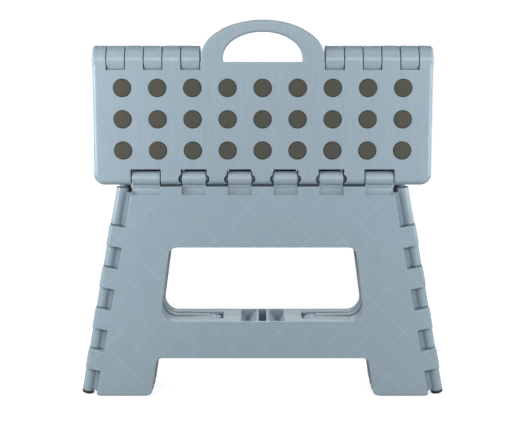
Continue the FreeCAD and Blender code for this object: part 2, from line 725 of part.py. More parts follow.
rod_low = BARREL_START + 2
centre_rod = fold_seat(bar_x(ROD_R + 1.0, CENTRE_REACH, -OVER_CENTRE, rod_low, SEAT_WIDTH / 2 - 0.5))
save("centre_hinge_rod_right", centre_rod)
save("centre_hinge_rod_left", mirror_x(centre_rod))

pin_middle, pin_width = seat_knuckles()[-1]
pin_half = pin_width / 2 + NOTCH_GAP + 7
hinge_pin = bar_x(PIN_R, -HINGE_INSET, HINGE_Z, pin_middle - pin_half, pin_middle + pin_half)
hinge_pins = both_sides([hinge_pin])
save("front_hinge_pins", group(hinge_pins))
save("rear_hinge_pins", group([mirror_y(pin) for pin in hinge_pins]))

corner_rod = along_edge(bar_z(ROD_R, 0, 0, CAP_HIGH + 4.5, (LEG_TOP - 2) / COSINE))
foot = along_edge(corner_foot())
for name, shape in (("corner_rod", corner_rod), ("corner_foot", foot)):
    save(name + "_front_right", shape)
    save(name + "_front_left", mirror_x(shape))
    save(name + "_rear_right", mirror_y(shape))
    save(name + "_rear_left", mirror_y(mirror_x(shape)))

for name, (low, high) in zip(("lower", "upper"), fold_spans()):
    fold_rod = fold_side(bar_z(ROD_R, FOLD_OUT, FOLD_REACH, low + 0.5, high - 0.5))
    save("right_fold_rod_" + name, fold_rod)
    save("left_fold_rod_" + name, mirror_x(fold_rod))

pads = both_sides([foot_pad(0.0)])
save("front_leg_foot_pads", group(pads))
save("rear_leg_foot_pads", group([mirror_y(pad) for pad in pads]))
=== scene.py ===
"""Folding step stool: finishes, grip dots, foot treads and the stage it stands on.

Laid out as an add-on and run as a script. Metres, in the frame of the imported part:
X across the stool, -Y to its front, Z up from the floor.
"""

import json
import math

import bmesh
import bpy
from bpy.props import FloatProperty, FloatVectorProperty, IntProperty, PointerProperty
from mathutils import Euler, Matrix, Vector


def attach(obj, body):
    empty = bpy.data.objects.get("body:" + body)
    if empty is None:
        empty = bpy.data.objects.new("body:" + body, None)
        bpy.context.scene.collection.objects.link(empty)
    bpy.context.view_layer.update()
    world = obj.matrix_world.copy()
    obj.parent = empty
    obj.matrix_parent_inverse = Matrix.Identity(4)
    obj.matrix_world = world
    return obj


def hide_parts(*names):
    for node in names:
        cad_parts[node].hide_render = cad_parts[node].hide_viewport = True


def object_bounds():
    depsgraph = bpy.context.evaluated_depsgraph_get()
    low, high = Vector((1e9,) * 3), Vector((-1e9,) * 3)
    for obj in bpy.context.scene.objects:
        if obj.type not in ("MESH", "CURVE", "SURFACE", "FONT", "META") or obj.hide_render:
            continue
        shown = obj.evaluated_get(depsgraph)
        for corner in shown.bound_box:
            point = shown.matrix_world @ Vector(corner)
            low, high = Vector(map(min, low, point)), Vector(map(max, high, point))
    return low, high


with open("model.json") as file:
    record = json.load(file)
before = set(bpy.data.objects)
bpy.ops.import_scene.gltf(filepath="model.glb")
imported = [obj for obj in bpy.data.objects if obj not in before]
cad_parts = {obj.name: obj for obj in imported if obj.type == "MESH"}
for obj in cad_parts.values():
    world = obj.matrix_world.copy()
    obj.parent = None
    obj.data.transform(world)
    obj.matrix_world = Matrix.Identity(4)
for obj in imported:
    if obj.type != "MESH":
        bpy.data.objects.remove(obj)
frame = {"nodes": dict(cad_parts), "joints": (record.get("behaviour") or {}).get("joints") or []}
CAD_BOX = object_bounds()

bl_info = {
    "name": "Folding Step Stool",
    "version": (1, 0, 0),
    "blender": (4, 5, 0),
    "location": "3D View > Sidebar > Step Stool",
    "description": "Moulded finishes, grip dots, foot treads and studio stage for a folding step stool",
    "category": "Object",
}

LEG_PANELS = ("front_leg_panel", "rear_leg_panel")
SEAT_PANELS = ("front_seat_panel", "rear_seat_panel")
SIDE_PANELS = ("front_left_side_panel", "front_right_side_panel",
               "rear_left_side_panel", "rear_right_side_panel")
SINK_LINE_PHASE = 0.1168    # height of the ribs' crossing on the centre line
LEG_SINK_HIGHLIGHT = 0.16       # how strongly the sink lines over the ribs are painted lighter on the legs: a painted highlight
SEAT_BRUSHING = 0.3         # how far the fine upright lines show on the seat
NO_LINES = 0.0
ROUGH_LOW = 0.27            # roughness of the plastic, at its glossiest
ROUGH_HIGH = 0.30           # and at its dullest
POLISH = 0.12               # roughness lost where an edge is rubbed
EDGE_WEAR_AND_HIGHLIGHT = 0.45          # how far an edge pales: rubbed wear, and a painted edge highlight
STIPPLES_PER_METRE = 1250.0
RIM_SHADE_START = 0.86            # share of a dot's radius where the painted shade round its rim begins
RIM_SHADE_FULL = 0.97
DOME_POWER = 6.0            # higher keeps a dot flatter up to its rim
TREAD_RIB_SHARE = 0.6       # width of a tread rib, of its pitch
TREAD_RIB_TAPER = 0.6       # its lower edge, of its upper one
TREAD_RIB_LENGTH = 0.94     # its length, of the pad's depth
FLOOR_DUST = (0.09, 0.085, 0.08, 1)


def seat_swing():
    """Angle each seat half turns through between folded and opened, in radians."""
    for joint in frame["joints"]:
        if joint["name"] == "seat_to_front_leg":
            return math.radians(max(abs(limit) for limit in joint["range_deg"]))
    raise RuntimeError("the seat hinge is missing from the frame")


# ---------------------------------------------------------------- settings
class StoolPlasticSettings(bpy.types.PropertyGroup):
    """Sizes and colours of the moulded panels."""

    colour: FloatVectorProperty(
        name="Plastic colour", description="Blue-grey body colour of the mouldings",
        default=(0.222, 0.288, 0.333), subtype="COLOR", size=3, min=0, max=1)
    mottle: FloatProperty(
        name="Mottle", description="How much the pigment varies over a panel",
        default=0.035, min=0, max=0.3, subtype="FACTOR")
    grain: FloatProperty(
        name="Grain size", description="Width of one pit of the eroded mould texture",
        default=0.0006, min=0.0001, unit="LENGTH")
    sink_pitch: FloatProperty(
        name="Sink line pitch", description="Spacing of the faint lines over the crossed ribs",
        default=0.0226, min=0.005, unit="LENGTH")
    edge_round: FloatProperty(
        name="Edge softening", description="Radius that moulded edges are eased by",
        default=0.0007, min=0.0001, unit="LENGTH")


class GripDotSettings(bpy.types.PropertyGroup):
    """Sizes and colour of the rubber dots on the seat."""

    radius: FloatProperty(
        name="Dot radius", description="Radius of one grip dot",
        default=0.00905, min=0.002, unit="LENGTH")
    dome: FloatProperty(
        name="Dome height", description="Rise of the dot from its rim to its middle",
        default=0.00035, min=0, unit="LENGTH")
    around: IntProperty(
        name="Roundness", description="Segments round each grip dot",
        default=40, min=12, max=96)
    colour: FloatVectorProperty(
        name="Dot colour", description="Warm charcoal of the soft rubber",
        default=(0.050, 0.050, 0.040), subtype="COLOR", size=3, min=0, max=1)


class FootTreadSettings(bpy.types.PropertyGroup):
    """Sizes and colour of the rubber under the stool."""

    rib_pitch: FloatProperty(
        name="Tread pitch", description="Spacing of the ribs under each foot",
        default=0.0032, min=0.001, unit="LENGTH")
    rib_depth: FloatProperty(
        name="Tread depth", description="How far the ribs stand out of the pad",
        default=0.0008, min=0.0001, unit="LENGTH")
    colour: FloatVectorProperty(
        name="Foot colour", description="Black of the rubber feet",
        default=(0.018, 0.018, 0.019), subtype="COLOR", size=3, min=0, max=1)


class HingeSteelSettings(bpy.types.PropertyGroup):
    """Finish of the hinge rods and pins."""

    colour: FloatVectorProperty(
        name="Steel colour", description="Colour of the drawn steel",
        default=(0.56, 0.56, 0.58), subtype="COLOR", size=3, min=0, max=1)
    draw_lines: FloatProperty(
        name="Draw line width", description="Width of the fine lines along each rod",
        default=0.00025, min=0.00005, unit="LENGTH")


class StageSettings(bpy.types.PropertyGroup):
    """Floor, lights and camera."""

    floor_size: FloatProperty(
        name="Floor size", description="Side of the square floor",
        default=60.0, min=1, unit="LENGTH")
    floor_colour: FloatVectorProperty(
        name="Floor colour", description="Pale floor under the stool",
        default=(0.40, 0.40, 0.40), subtype="COLOR", size=3, min=0, max=1)
    surround: FloatProperty(
        name="Surround strength", description="Brightness of the white studio all round",
        default=0.12, min=0)
    floor_glow: FloatProperty(
        name="Floor glow", description="How far the floor by the stool is lifted to white",
        default=0.76, min=0)
    lens: FloatProperty(
        name="Lens", description="Focal length of the camera on a 36 mm wide sensor, in millimetres",
        default=71.3, min=10)
    camera_place: FloatVectorProperty(
        name="Camera place", description="Where the camera stands",
        default=(-0.0026, -1.033, 0.372), subtype="TRANSLATION", size=3)
    camera_dip: FloatProperty(
        name="Camera dip", description="How far the camera looks down",
        default=math.radians(10), subtype="ANGLE", unit="ROTATION")
    left_power: FloatProperty(
        name="Left box", description="Power of the front left soft box, in watts",
        default=3.1, min=0)
    right_power: FloatProperty(
        name="Right box", description="Power of the front right soft box, in watts",
        default=2.4, min=0)
    strip_power: FloatProperty(
        name="Strip", description="Power of the front strip light, in watts",
        default=11.5, min=0)
    top_power: FloatProperty(
        name="Top box", description="Power of the soft box overhead, in watts",
        default=1.4, min=0)
    rear_share: FloatProperty(
        name="Rear share", description="Power of the rear lights as a share of the front ones",
        default=0.6, min=0, subtype="FACTOR")
    seen_white: FloatProperty(
        name="Backdrop", description="Brightness of the white backdrop where it is looked at",
        default=1.05, min=0)


# ---------------------------------------------------------------- node helpers
def add(tree, kind, inputs=None, **settings):
    """One node with its settings; each input is a value or the socket that feeds it."""
    node = tree.nodes.new(kind)
    for name, value in settings.items():
        setattr(node, name, value)
    for name, value in (inputs or {}).items():
        socket = node.inputs[name]
        if isinstance(value, bpy.types.NodeSocket):
            tree.links.new(value, socket)
        else:
            socket.default_value = value
    return node


def maths(tree, operation, first, second=0.0):
    """Result socket of a Math node."""
    return add(tree, "ShaderNodeMath", {0: first, 1: second}, operation=operation).outputs[0]


def ramp(tree, value, from_low, from_high, to_low=0.0, to_high=1.0, smooth=True):
    """Result socket of a Map Range node, clamped at both ends."""
    node = add(tree, "ShaderNodeMapRange", {
        "Value": value, "From Min": from_low, "From Max": from_high,
        "To Min": to_low, "To Max": to_high,
    }, interpolation_type="SMOOTHSTEP" if smooth else "LINEAR", clamp=True)
    return node.outputs["Result"]


def noise(tree, where, feature, detail=2.0, roughness=0.5):
    """Noise whose lumps are about feature metres across."""
    node = add(tree, "ShaderNodeTexNoise", {
        "Vector": where, "Scale": 1.0 / feature, "Detail": detail, "Roughness": roughness,
    })
    return node.outputs["Fac"]


def mixed(tree, amount, first, second):
    """Result socket of a colour mix."""
    node = tree.nodes.new("ShaderNodeMix")
    node.data_type = "RGBA"
    factor, first_colour, second_colour = node.inputs[0], node.inputs[6], node.inputs[7]
    for socket, value in ((factor, amount), (first_colour, first), (second_colour, second)):
        if isinstance(value, bpy.types.NodeSocket):
            tree.links.new(value, socket)
        else:
            socket.default_value = value
    return node.outputs[2]


def scaled(colour, factor):
    """Colour made lighter or darker, with its alpha."""
    return tuple(min(1.0, channel * factor) for channel in colour[:3]) + (1.0,)


def blank_material(name):
    """Material with an empty node tree, and that tree."""
    material = bpy.data.materials.new(name)
    material.use_nodes = True
    material.node_tree.nodes.clear()
    return material, material.node_tree


def close_material(tree, shader):
    """Shader to the material's output."""
    add(tree, "ShaderNodeOutputMaterial", {"Surface": shader.outputs[0]})


def edge_wear_and_highlight_mask(tree, rounded):
    """Mask that rises to 1 where rounding turns the surface most, and is 0 on the flats: where edges
    are worn and get a painted highlight.
    """
    flat = add(tree, "ShaderNodeNewGeometry").outputs["Normal"]
    level = add(tree, "ShaderNodeVectorMath", {0: rounded, 1: flat}, operation="DOT_PRODUCT")
    return ramp(tree, level.outputs["Value"], 0.995, 0.86)


# ---------------------------------------------------------------- finishes
def moulded_plastic(name, settings, sink_highlight_amount, brushing):
    """Satin blue-grey plastic: grain, mottle, brushed lines, sink lines with a painted highlight along
    them, and edges paler from rubbing and from a painted edge highlight.
    """
    material, tree = blank_material(name)
    place = add(tree, "ShaderNodeTexCoord")
    here = place.outputs["Object"]

    cloud = noise(tree, here, 0.09, 3.0)
    streak_place = add(tree, "ShaderNodeMapping", {"Vector": here, "Scale": (1.0, 1.0, 0.22)})
    streak = noise(tree, streak_place.outputs[0], 0.011, 2.0, 0.6)
    speck = noise(tree, here, 0.0016, 1.0)
    base = settings.colour
    colour = mixed(tree, cloud, scaled(base, 1 - settings.mottle), scaled(base, 1 + settings.mottle))
    colour = mixed(tree, ramp(tree, streak, 0.35, 0.7, 0, 0.5), colour, scaled(base, 1.05))
    colour = mixed(tree, ramp(tree, speck, 0.62, 0.75, 0, 0.35), colour, scaled(base, 1.12))
    brush_place = add(tree, "ShaderNodeMapping", {"Vector": here, "Scale": (1.0, 1.0, 0.08)})
    brushed = ramp(tree, noise(tree, brush_place.outputs[0], 0.0022, 1.0), 0.35, 0.65, 0, brushing)
    warmer = (base[0] * 1.08, base[1], base[2] * 0.97)
    colour = mixed(tree, brushed, colour, scaled(warmer, 1.15))

    # Sink lines painted lighter than the plastic: a painted highlight along the sink marks over the
    # ribs; the dip bump below is real.
    sink_highlight, sink_rise = sink_line_mask(tree, place, settings.sink_pitch, sink_highlight_amount)
    colour = mixed(tree, sink_highlight, colour, scaled(base, 1.5))

    bevel = add(tree, "ShaderNodeBevel", {"Radius": settings.edge_round}, samples=6)
    edge = edge_wear_and_highlight_mask(tree, bevel.outputs[0])
    scuff = ramp(tree, noise(tree, here, 0.004, 3.0, 0.65), 0.35, 0.65, 0.25, 1.0)
    worn_and_highlit = maths(tree, "MULTIPLY", edge, scuff)
    # Edges painted paler: partly rubbed wear, partly a painted highlight along the edges.
    colour = mixed(tree, maths(tree, "MULTIPLY", worn_and_highlit, EDGE_WEAR_AND_HIGHLIGHT), colour, scaled(base, 1.38))

    shine = ramp(tree, cloud, 0.3, 0.7, ROUGH_LOW, ROUGH_HIGH, smooth=False)
    shine = maths(tree, "SUBTRACT", shine, maths(tree, "MULTIPLY", worn_and_highlit, POLISH))
    pits = noise(tree, here, settings.grain, 2.0, 0.6)
    waves = noise(tree, here, 0.03, 1.0)
    bump = add(tree, "ShaderNodeBump", {
        "Height": pits, "Distance": 0.00003, "Strength": 0.55, "Normal": bevel.outputs[0]})
    ripple = add(tree, "ShaderNodeBump", {
        "Height": waves, "Distance": 0.00007, "Strength": 0.5, "Normal": bump.outputs[0]})
    dip = add(tree, "ShaderNodeBump", {
        "Height": sink_rise, "Distance": 0.00006, "Strength": 0.6, "Normal": ripple.outputs[0]})
    shader = add(tree, "ShaderNodeBsdfPrincipled", {
        "Base Color": colour, "Roughness": shine, "Normal": dip.outputs[0],
        "IOR": 1.49, "Specular IOR Level": 0.42})
    close_material(tree, shader)
    return material


def sink_line_mask(tree, place, pitch, strength):
    """Faint crossed lines at 45 degrees on faces that look to the front or rear: the amount of painted
    highlight along them, and the line mask for their real dip.
    """
    axes = add(tree, "ShaderNodeSeparateXYZ", {"Vector": place.outputs["Object"]})
    facing = add(tree, "ShaderNodeSeparateXYZ", {"Vector": place.outputs["Normal"]})
    lines = []
    for operation in ("ADD", "SUBTRACT"):
        slant = maths(tree, operation, axes.outputs["X"], axes.outputs["Z"])
        level = -SINK_LINE_PHASE if operation == "ADD" else SINK_LINE_PHASE
        across = maths(tree, "MULTIPLY", maths(tree, "ADD", slant, level), math.sqrt(0.5))
        away = maths(tree, "PINGPONG", across, pitch / 2)
        lines.append(ramp(tree, away, 0.0016, 0.0004))
    both = maths(tree, "MAXIMUM", lines[0], lines[1])
    flat_on = ramp(tree, maths(tree, "ABSOLUTE", facing.outputs["Y"]), 0.9, 0.985)
    patchy = ramp(tree, noise(tree, place.outputs["Object"], 0.02, 2.0), 0.3, 0.7, 0.45, 1.0)
    line = maths(tree, "MULTIPLY", maths(tree, "MULTIPLY", both, flat_on), patchy)
    return maths(tree, "MULTIPLY", line, strength), line


def grip_rubber(settings):
    """Soft charcoal rubber of the grip dots: fine stipple, pale dust, and painted shade darkening its
    rim.
    """
    material, tree = blank_material("grip_dot_rubber_finish")
    here = add(tree, "ShaderNodeTexCoord").outputs["Object"]
    bloom = noise(tree, here, 0.006, 4.0, 0.6)
    dust = noise(tree, here, 0.0009, 2.0, 0.7)
    base = settings.colour
    colour = mixed(tree, bloom, scaled(base, 0.90), scaled(base, 1.10))
    colour = mixed(tree, ramp(tree, dust, 0.60, 0.74, 0, 0.5), colour, scaled(base, 1.55))
    rim = add(tree, "ShaderNodeAttribute", attribute_name="rim").outputs["Fac"]
    # Painted shade: each dot is darkened towards its rim, where shade falls round its edge.
    colour = mixed(tree, ramp(tree, rim, RIM_SHADE_START, RIM_SHADE_FULL), colour, scaled(base, 0.4))
    stipple = add(tree, "ShaderNodeTexVoronoi", {"Vector": here, "Scale": STIPPLES_PER_METRE})
    bump = add(tree, "ShaderNodeBump", {
        "Height": stipple.outputs["Distance"], "Distance": 0.00008, "Strength": 0.5})
    shader = add(tree, "ShaderNodeBsdfPrincipled", {
        "Base Color": colour, "Roughness": ramp(tree, bloom, 0.3, 0.7, 0.72, 0.86),
        "Normal": bump.outputs[0], "Specular IOR Level": 0.3, "Sheen Weight": 0.08,
        "Sheen Roughness": 0.5})
    close_material(tree, shader)
    return material


def foot_rubber(settings):
    """Black rubber of the feet, greyed with floor dust on its lower rim."""
    material, tree = blank_material("foot_rubber_finish")
    here = add(tree, "ShaderNodeTexCoord").outputs["Object"]
    height = add(tree, "ShaderNodeSeparateXYZ", {"Vector": here}).outputs["Z"]
    smudge = noise(tree, here, 0.004, 4.0, 0.65)
    dusty = maths(tree, "MULTIPLY", ramp(tree, height, 0.006, 0.0), ramp(tree, smudge, 0.4, 0.7))
    base = settings.colour
    colour = mixed(tree, smudge, scaled(base, 0.8), scaled(base, 1.3))
    colour = mixed(tree, maths(tree, "MULTIPLY", dusty, 0.5), colour, FLOOR_DUST)
    bump = add(tree, "ShaderNodeBump", {
        "Height": noise(tree, here, 0.0007, 2.0), "Distance": 0.00006, "Strength": 0.6})
    shader = add(tree, "ShaderNodeBsdfPrincipled", {
        "Base Color": colour, "Roughness": ramp(tree, smudge, 0.3, 0.7, 0.62, 0.8),
        "Normal": bump.outputs[0], "Specular IOR Level": 0.35})
    close_material(tree, shader)
    return material


def drawn_steel(settings, name, along):
    """Drawn steel: fine lines along the rod and a darker film of oil in patches."""
    material, tree = blank_material(name)
    here = add(tree, "ShaderNodeTexCoord").outputs["Object"]
    stretch = add(tree, "ShaderNodeMapping", {"Vector": here, "Scale": along})
    lines = noise(tree, stretch.outputs[0], settings.draw_lines, 3.0, 0.7)
    film = noise(tree, here, 0.012, 2.0)
    base = settings.colour
    colour = mixed(tree, lines, scaled(base, 0.86), scaled(base, 1.08))
    colour = mixed(tree, ramp(tree, film, 0.55, 0.8, 0, 0.3), colour, scaled(base, 0.62))
    bump = add(tree, "ShaderNodeBump", {"Height": lines, "Distance": 0.00001, "Strength": 0.5})
    shader = add(tree, "ShaderNodeBsdfPrincipled", {
        "Base Color": colour, "Metallic": 1.0, "Roughness": ramp(tree, film, 0.3, 0.7, 0.24, 0.4),
        "Normal": bump.outputs[0], "Anisotropic": 0.4})
    close_material(tree, shader)
    return material


def finish_node(node, material):
    """Give a carried-over part its finish in place of its plain colour."""
    part = frame["nodes"][node]
    part.data.materials.clear()
    part.data.materials.append(material)


# ---------------------------------------------------------------- geometry helpers
def islands(mesh):
    """Corner pairs (lowest, highest) of the separate solids in a part's mesh."""
    work = bmesh.new()
    work.from_mesh(mesh)
    bmesh.ops.remove_doubles(work, verts=work.verts, dist=1e-6)
    work.verts.index_update()
    seen = set()
    found = []
    for start in work.verts:
        if start.index in seen:
            continue
        seen.add(start.index)
        waiting = [start]
        points = []
        while waiting:
            vert = waiting.pop()
            points.append(vert.co.copy())
            for edge in vert.link_edges:
                other = edge.other_vert(vert)
                if other.index not in seen:
                    seen.add(other.index)
                    waiting.append(other)
        low = Vector(min(point[axis] for point in points) for axis in range(3))
        high = Vector(max(point[axis] for point in points) for axis in range(3))
        found.append((low, high))
    work.free()
    return found


def points_object(name, points):
    """Object whose mesh is only the given points, ready for a node modifier."""
    mesh = bpy.data.meshes.new(name)
    mesh.from_pydata([tuple(point) for point in points], [], [])
    thing = bpy.data.objects.new(name, mesh)
    bpy.context.scene.collection.objects.link(thing)
    return thing


def new_tree(name, inputs):
    """Geometry node group with named float inputs beside its geometry."""
    tree = bpy.data.node_groups.new(name, "GeometryNodeTree")
    tree.interface.new_socket("Geometry", in_out="INPUT", socket_type="NodeSocketGeometry")
    for label, kind in inputs:
        tree.interface.new_socket(label, in_out="INPUT", socket_type=kind)
    tree.interface.new_socket("Geometry", in_out="OUTPUT", socket_type="NodeSocketGeometry")
    return tree


def close_tree(tree, geometry, material, smooth):
    """Realised, shaded and finished result to the group's output."""
    real = add(tree, "GeometryNodeRealizeInstances", {0: geometry})
    shaded = add(tree, "GeometryNodeSetShadeSmooth", {"Geometry": real.outputs[0]})
    shaded.inputs["Shade Smooth"].default_value = smooth
    coated = add(tree, "GeometryNodeSetMaterial", {"Geometry": shaded.outputs[0]})
    coated.inputs["Material"].default_value = material
    add(tree, "NodeGroupOutput", {0: coated.outputs[0]})


def grown(thing, tree, values, material):
    """Run a node tree on an object and keep the result as its plain mesh."""
    modifier = thing.modifiers.new(tree.name, "NODES")
    modifier.node_group = tree
    for item in tree.interface.items_tree:
        if item.in_out == "INPUT" and item.name in values:
            modifier[item.identifier] = values[item.name]
    graph = bpy.context.evaluated_depsgraph_get()
    mesh = bpy.data.meshes.new_from_object(thing.evaluated_get(graph))
    thing.modifiers.remove(modifier)
    old = thing.data
    thing.data = mesh
    bpy.data.meshes.remove(old)
    mesh.name = thing.name
    if material.name not in mesh.materials:
        mesh.materials.append(material)
    return thing


# ---------------------------------------------------------------- operators
class STOOL_OT_mould_panels(bpy.types.Operator):
    """Finish the legs, seat halves and side halves in moulded plastic"""

    bl_idname = "stool.mould_panels"
    bl_label = "Mould the panels"

    def execute(self, context):
        settings = context.scene.stool_plastic
        leg = moulded_plastic("leg_plastic_finish", settings, LEG_SINK_HIGHLIGHT, NO_LINES)
        seat = moulded_plastic("seat_plastic_finish", settings, NO_LINES, SEAT_BRUSHING)
        side = moulded_plastic("side_plastic_finish", settings, NO_LINES, NO_LINES)
        for names, material in ((LEG_PANELS, leg), (SEAT_PANELS, seat), (SIDE_PANELS, side)):
            for node in names:
                finish_node(node, material)
        return {"FINISHED"}


class STOOL_OT_grip_dots(bpy.types.Operator):
    """Press the domed rubber grip dots into both seat halves"""

    bl_idname = "stool.grip_dots"
    bl_label = "Press in the grip dots"

    def execute(self, context):
        settings = context.scene.stool_dots
        rubber = grip_rubber(settings)
        tree = dot_tree(settings.around, rubber)
        swing = seat_swing()
        for half, facing in (("front_seat", -1), ("rear_seat", 1)):
            node = half + "_dots"
            outward = Vector((0, facing * math.sin(swing), math.cos(swing)))
            centres = [(low + high) / 2 for low, high in islands(frame["nodes"][node].data)]
            if not centres:
                raise RuntimeError("no grip dots were found on " + half)
            dots = points_object(half + "_grip_dots", centres)
            lean = Euler((-facing * swing, 0, 0))
            thickness = dot_thickness(frame["nodes"][node].data, outward)
            grown(dots, tree, {"Radius": settings.radius, "Dome": settings.dome,
                               "Thickness": thickness, "Lean": lean}, rubber)
            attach(dots, half)
            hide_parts(node)
        return {"FINISHED"}


def dot_thickness(mesh, outward):
    """Thickness of the dots along their axis."""
    levels = [outward.dot(vertex.co) for vertex in mesh.vertices]
    return max(levels) - min(levels)


def dot_tree(around, material):
    """One domed dot on every point, with its share of the radius kept as rim."""
    tree = new_tree("grip_dot_layout", (
        ("Radius", "NodeSocketFloat"), ("Dome", "NodeSocketFloat"),
        ("Thickness", "NodeSocketFloat"), ("Lean", "NodeSocketRotation")))
    given = add(tree, "NodeGroupInput")
    puck = add(tree, "GeometryNodeMeshCylinder", {
        "Vertices": around, "Side Segments": 1, "Fill Segments": 7,
        "Radius": given.outputs["Radius"], "Depth": given.outputs["Thickness"]},
        fill_type="TRIANGLE_FAN")
    spot = add(tree, "GeometryNodeInputPosition")
    flat = add(tree, "ShaderNodeVectorMath", {0: spot.outputs[0], 1: (1, 1, 0)},
               operation="MULTIPLY")
    out = add(tree, "ShaderNodeVectorMath", {0: flat.outputs[0]}, operation="LENGTH")
    share = maths(tree, "DIVIDE", out.outputs["Value"], given.outputs["Radius"])
    fall = maths(tree, "POWER", share, DOME_POWER)
    drop = maths(tree, "MULTIPLY", maths(tree, "MULTIPLY", fall, given.outputs["Dome"]), -1.0)
    move = add(tree, "ShaderNodeCombineXYZ", {"Z": drop})
    domed = add(tree, "GeometryNodeSetPosition", {
        "Geometry": puck.outputs["Mesh"], "Selection": puck.outputs["Top"],
        "Offset": move.outputs[0]})
    marked = add(tree, "GeometryNodeStoreNamedAttribute", {
        "Geometry": domed.outputs[0], "Name": "rim", "Value": share},
        data_type="FLOAT", domain="POINT")
    laid = add(tree, "GeometryNodeInstanceOnPoints", {
        "Points": given.outputs["Geometry"], "Instance": marked.outputs[0],
        "Rotation": given.outputs["Lean"]})
    close_tree(tree, laid.outputs[0], material, True)
    return tree


class STOOL_OT_foot_treads(bpy.types.Operator):
    """Fit ribbed rubber treads under both legs and finish the corner feet"""

    bl_idname = "stool.foot_treads"
    bl_label = "Fit the foot treads"

    def execute(self, context):
        settings = context.scene.stool_feet
        rubber = foot_rubber(settings)
        tree = tread_tree(rubber)
        for leg in ("front_leg", "rear_leg"):
            node = leg + "_foot_pads"
            pads = islands(frame["nodes"][node].data)
            if len(pads) != 2:
                raise RuntimeError("expected two foot pads under the " + leg)
            low, high = pads[0]
            size = high - low
            tread = points_object(leg + "_foot_treads", [(a + b) / 2 for a, b in pads])
            count = int(size.x / settings.rib_pitch)
            grown(tread, tree, {"Size": size, "Rib Pitch": settings.rib_pitch,
                                "Rib Depth": settings.rib_depth, "Rib Count": count}, rubber)
            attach(tread, leg)
            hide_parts(node)
        for node in frame["nodes"]:
            if node.startswith("corner_foot"):
                finish_node(node, rubber)
        return {"FINISHED"}


def tread_tree(material):
    """A pad with a row of ribs along its underside, on every point."""
    tree = new_tree("foot_tread_layout", (
        ("Size", "NodeSocketVector"), ("Rib Pitch", "NodeSocketFloat"),
        ("Rib Depth", "NodeSocketFloat"), ("Rib Count", "NodeSocketInt")))
    given = add(tree, "NodeGroupInput")
    depth = given.outputs["Rib Depth"]
    size = add(tree, "ShaderNodeSeparateXYZ", {"Vector": given.outputs["Size"]})
    body_high = maths(tree, "SUBTRACT", size.outputs["Z"], depth)
    half_depth = add(tree, "ShaderNodeCombineXYZ", {"Z": maths(tree, "MULTIPLY", depth, 0.5)})
    body_size = add(tree, "ShaderNodeCombineXYZ", {
        "X": size.outputs["X"], "Y": size.outputs["Y"], "Z": body_high})
    body = add(tree, "GeometryNodeMeshCube", {"Size": body_size.outputs[0]})
    raised = add(tree, "GeometryNodeTransform", {
        "Geometry": body.outputs["Mesh"], "Translation": half_depth.outputs[0]})
    pitch = given.outputs["Rib Pitch"]
    span = maths(tree, "MULTIPLY", maths(tree, "SUBTRACT", given.outputs["Rib Count"], 1.0), pitch)
    below = maths(tree, "MULTIPLY", body_high, -0.5)
    start = add(tree, "ShaderNodeCombineXYZ", {
        "X": maths(tree, "MULTIPLY", span, -0.5), "Z": below})
    step = add(tree, "ShaderNodeCombineXYZ", {"X": pitch})
    row = add(tree, "GeometryNodeMeshLine", {
        "Count": given.outputs["Rib Count"], "Start Location": start.outputs[0],
        "Offset": step.outputs[0]}, mode="OFFSET")
    rib = add(tree, "GeometryNodeMeshCone", {
        "Vertices": 4, "Side Segments": 1, "Fill Segments": 1,
        "Radius Top": math.sqrt(0.5), "Radius Bottom": math.sqrt(0.5) * TREAD_RIB_TAPER,
        "Depth": 1.0},
        fill_type="NGON")
    turned = add(tree, "GeometryNodeTransform", {
        "Geometry": rib.outputs["Mesh"], "Translation": (0, 0, -0.5),
        "Rotation": Euler((0, 0, math.pi / 4))})
    rib_size = add(tree, "ShaderNodeCombineXYZ", {
        "X": maths(tree, "MULTIPLY", pitch, TREAD_RIB_SHARE),
        "Y": maths(tree, "MULTIPLY", size.outputs["Y"], TREAD_RIB_LENGTH), "Z": depth})
    fitted = add(tree, "GeometryNodeTransform", {
        "Geometry": turned.outputs[0], "Scale": rib_size.outputs[0]})
    under = add(tree, "GeometryNodeTransform", {
        "Geometry": fitted.outputs[0], "Translation": half_depth.outputs[0]})
    ribs = add(tree, "GeometryNodeInstanceOnPoints", {
        "Points": row.outputs["Mesh"], "Instance": under.outputs[0]})
    pad = add(tree, "GeometryNodeJoinGeometry")
    tree.links.new(raised.outputs[0], pad.inputs[0])
    tree.links.new(ribs.outputs[0], pad.inputs[0])
    laid = add(tree, "GeometryNodeInstanceOnPoints", {
        "Points": given.outputs["Geometry"], "Instance": pad.outputs[0]})
    close_tree(tree, laid.outputs[0], material, False)
    return tree


class STOOL_OT_hinge_steel(bpy.types.Operator):
    """Finish the hinge rods and pins in drawn steel"""

    bl_idname = "stool.hinge_steel"
    bl_label = "Finish the hinge steel"

    def execute(self, context):
        settings = context.scene.stool_steel
        level = drawn_steel(settings, "level_rod_finish", (0.02, 1.0, 1.0))
        upright = drawn_steel(settings, "upright_rod_finish", (1.0, 1.0, 0.02))
        for node in frame["nodes"]:
            if "hinge" in node:
                finish_node(node, level)
            elif "rod" in node:
                finish_node(node, upright)
        return {"FINISHED"}


class STOOL_OT_studio_stage(bpy.types.Operator):
    """Set the pale floor, the soft lights and the camera"""

    bl_idname = "stool.studio_stage"
    bl_label = "Set the stage"

    def execute(self, context):
        settings = context.scene.stool_stage
        lay_floor(settings)
        light_surround(context.scene, settings)
        light_ends(settings)
        place_camera(context.scene, settings)
        context.scene.view_settings.view_transform = "Standard"
        context.scene.view_settings.look = "None"
        return {"FINISHED"}


